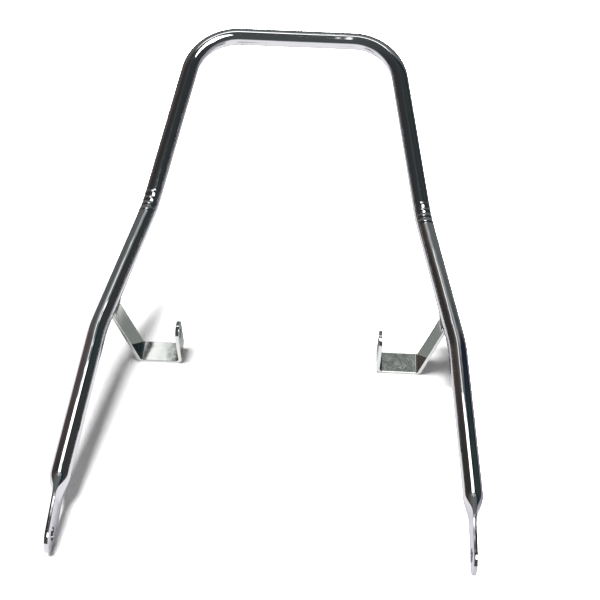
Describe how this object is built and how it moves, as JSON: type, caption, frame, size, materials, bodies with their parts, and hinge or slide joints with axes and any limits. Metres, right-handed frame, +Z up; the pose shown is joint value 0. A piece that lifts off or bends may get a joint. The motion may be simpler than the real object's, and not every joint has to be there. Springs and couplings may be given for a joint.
{
  "type": "moped grab bar",
  "caption": "Chromed steel grab bar for the rear of a moped seat: a bent tube hoop with flattened, drilled feet and folded strap brackets.",
  "frame": {"origin": "middle of the line through the two foot holes", "axes": "+X across the moped along the foot holes' axis, +Y to the rear towards the top bar, +Z up from the floor that the bar stands on in the picture"},
  "size_m": [0.3314, 0.477, 0.2134],
  "materials": {
    "tube_chrome": "polished",
    "bracket_chrome": "bright, a little duller than the tube",
    "weld_metal": "plated over an uneven weld"
  },
  "bodies": {
    "root": {"bar_tube": "tube_chrome", "left_bracket": "bracket_chrome", "right_bracket": "bracket_chrome", "left_weld": "weld_metal", "right_weld": "weld_metal"}
  },
  "joints": []
}
